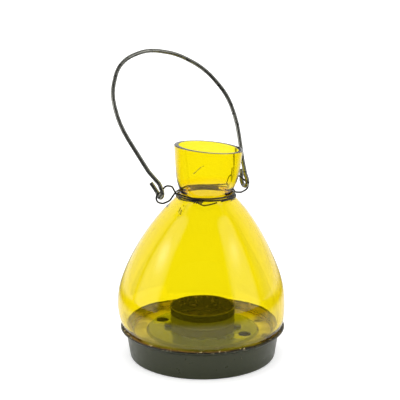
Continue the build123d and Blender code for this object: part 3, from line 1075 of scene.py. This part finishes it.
def soft_box(name, bearing, glow, spot, spot_height):
    """A tall soft-edged panel of light, brighter round its lamp, that faces the object."""
    half_width, low, high = 0.40, -0.30, 1.65
    distance, spot_reach = 0.9, 0.26
    mesh = bpy.data.meshes.new(name)
    mesh.from_pydata(
        [(-half_width, 0, low), (half_width, 0, low), (half_width, 0, high), (-half_width, 0, high)],
        [], [(0, 1, 2, 3)])
    panel = new_object(name, mesh)
    turn = math.radians(bearing)
    panel.location = (distance * math.cos(turn), distance * math.sin(turn), 0)
    panel.rotation_euler.z = turn - math.pi / 2

    p = Paint(name)
    x, z = p.axis("X"), p.axis("Z")
    side = p.range(p.math("ABSOLUTE", x), half_width, half_width * 0.55)
    ends = p.math("MULTIPLY", p.range(z, low, low + 0.35), p.range(z, high, high - 0.5))
    near = p.vector("DISTANCE", (0, 0, spot_height))["Value"]
    hot = p.range(near, spot_reach, 0.0)
    level = p.math("ADD", p.math("MULTIPLY", hot, spot, clamp=False), glow, clamp=False)
    shaped = p.math("MULTIPLY", level, p.math("MULTIPLY", side, ends), clamp=False)
    lamp = p.nodes.new("ShaderNodeEmission")
    p.links.new(shaped, lamp.inputs["Strength"])
    p.links.new(lamp.outputs[0], p.out.inputs["Surface"])
    mesh.materials.append(p.material)
    panel.visible_camera = False
    panel.visible_transmission = False
    panel.visible_shadow = False
    return panel


def studio_world():
    """White all round, but for reflections white only behind the object and dark elsewhere."""
    world = bpy.data.worlds.new("studio_white")
    world.use_nodes = True
    nodes, links = world.node_tree.nodes, world.node_tree.links
    white = next(n for n in nodes if n.type == "BACKGROUND")
    out = next(n for n in nodes if n.type == "OUTPUT_WORLD")
    white.inputs["Color"].default_value = (1, 1, 1, 1)
    white.inputs["Strength"].default_value = 1.22
    way = nodes.new("ShaderNodeTexCoord")
    away = nodes.new("ShaderNodeVectorMath")
    away.operation = "DOT_PRODUCT"
    away.inputs[1].default_value = (0.5, 0.866, 0)
    links.new(way.outputs["Generated"], away.inputs[0])
    fade = nodes.new("ShaderNodeMapRange")
    fade.interpolation_type = "SMOOTHSTEP"
    set_range(fade, -0.15, 0.60, 0.03, 1.1)
    links.new(away.outputs["Value"], fade.inputs["Value"])
    mirrored = nodes.new("ShaderNodeBackground")
    links.new(fade.outputs["Result"], mirrored.inputs["Strength"])
    path = nodes.new("ShaderNodeLightPath")
    only = nodes.new("ShaderNodeMath")
    only.operation = "SUBTRACT"
    only.use_clamp = True
    links.new(path.outputs["Is Glossy Ray"], only.inputs[0])
    links.new(path.outputs["Is Transmission Ray"], only.inputs[1])
    blend = nodes.new("ShaderNodeMixShader")
    links.new(only.outputs[0], blend.inputs["Fac"])
    links.new(white.outputs[0], blend.inputs[1])
    links.new(mirrored.outputs[0], blend.inputs[2])
    links.new(blend.outputs[0], out.inputs["Surface"])
    return world


def pale_floor():
    """White table top that in reflections turns dark some way in front and to the sides."""
    p = Paint("pale_floor")
    p.set(Base_Color=(0.93, 0.93, 0.93, 1.0), Roughness=0.9, Specular_IOR_Level=0.0)
    dark = p.nodes.new("ShaderNodeBsdfDiffuse")
    dark.inputs["Color"].default_value = (0.02, 0.02, 0.02, 1.0)
    path = p.nodes.new("ShaderNodeLightPath")
    far = p.math("MULTIPLY", p.range(p.radius(), 0.14, 0.25), p.range(p.along(0.5, 0.866), 0.50, 0.12))
    only = p.math("SUBTRACT", path.outputs["Is Glossy Ray"], path.outputs["Is Transmission Ray"])
    fade = p.math("MULTIPLY", far, only)
    p.set(Emission_Color=(1, 1, 1, 1))
    p.feed("Emission Strength", p.math("MULTIPLY", path.outputs["Is Camera Ray"], 0.35))
    blend = p.nodes.new("ShaderNodeMixShader")
    p.links.new(fade, blend.inputs["Fac"])
    p.links.new(p.shader.outputs["BSDF"], blend.inputs[1])
    p.links.new(dark.outputs[0], blend.inputs[2])
    p.links.new(blend.outputs[0], p.out.inputs["Surface"])
    return p.material


class WASPTRAP_OT_stage(bpy.types.Operator):
    """Set up the pale floor, the soft light and the camera"""
    bl_idname = "wasptrap.stage"
    bl_label = "Stage"

    def execute(self, context):
        scene = context.scene
        aim = Vector((0, 0, 0.1008))

        floor_mesh = bpy.data.meshes.new("pale_floor")
        half = 40.0
        corners = [(-half, -half, 0), (half, -half, 0), (half, half, 0), (-half, half, 0)]
        floor_mesh.from_pydata(corners, [], [(0, 1, 2, 3)])
        floor = new_object("pale_floor", floor_mesh)
        floor.location.z = CAD_BOX[0].z
        floor_mesh.materials.append(pale_floor())
        left = soft_box("left_soft_box", 160, 1.3, 3.2, 0.60)
        right = soft_box("right_soft_box", -56, 1.2, 2.2, 0.66)
        scene.world = studio_world()
        scene.view_settings.view_transform = "Standard"

        azimuth, pitch = math.radians(-30), math.radians(14.36)
        distance, beside = 0.7784, -0.0016
        camera_data = bpy.data.cameras.new("camera")
        camera_data.lens = 112.9
        camera_data.sensor_width = 36.0
        camera = new_object("camera", camera_data)
        back_way = Vector((
            math.sin(azimuth) * math.cos(pitch), -math.cos(azimuth) * math.cos(pitch), math.sin(pitch)))
        right_way = Vector((math.cos(azimuth), math.sin(azimuth), 0))
        camera.location = aim + back_way * distance + right_way * beside
        camera.rotation_mode = "QUATERNION"
        camera.rotation_quaternion = (-back_way).to_track_quat("-Z", "Y")
        scene.camera = camera
        return {"FINISHED"}


class WASPTRAP_PT_sidebar(bpy.types.Panel):
    """Lists the trap's pieces in the sidebar"""
    bl_label = "Wasp Trap"
    bl_idname = "WASPTRAP_PT_sidebar"
    bl_space_type = "VIEW_3D"
    bl_region_type = "UI"
    bl_category = "Wasp Trap"

    def draw(self, context):
        layout = self.layout
        for group in settings():
            box = layout.box()
            for name in group.__annotations__:
                box.prop(group, name)
        for operator in OPERATORS:
            layout.operator(operator.bl_idname)


GROUPS = (
    ("wasp_trap_glass", WaspTrapGlass),
    ("wasp_trap_steel", WaspTrapSteel),
    ("wasp_trap_wire", WaspTrapWire),
)
OPERATORS = (
    WASPTRAP_OT_stage,
    WASPTRAP_OT_glass_jar,
    WASPTRAP_OT_base_pan,
    WASPTRAP_OT_floor_tray,
    WASPTRAP_OT_bait_cup,
    WASPTRAP_OT_jar_seal,
    WASPTRAP_OT_bail,
    WASPTRAP_OT_neck_wires,
)


def register():
    for name, group in GROUPS:
        bpy.utils.register_class(group)
        setattr(bpy.types.Scene, name, PointerProperty(type=group))
    for cls in (*OPERATORS, WASPTRAP_PT_sidebar):
        bpy.utils.register_class(cls)


def unregister():
    for cls in (WASPTRAP_PT_sidebar, *reversed(OPERATORS)):
        bpy.utils.unregister_class(cls)
    for name, group in reversed(GROUPS):
        delattr(bpy.types.Scene, name)
        bpy.utils.unregister_class(group)


def main():
    register()
    for operator in OPERATORS:
        group, name = operator.bl_idname.split(".")
        getattr(getattr(bpy.ops, group), name)()


if __name__ == "__main__":
    main()
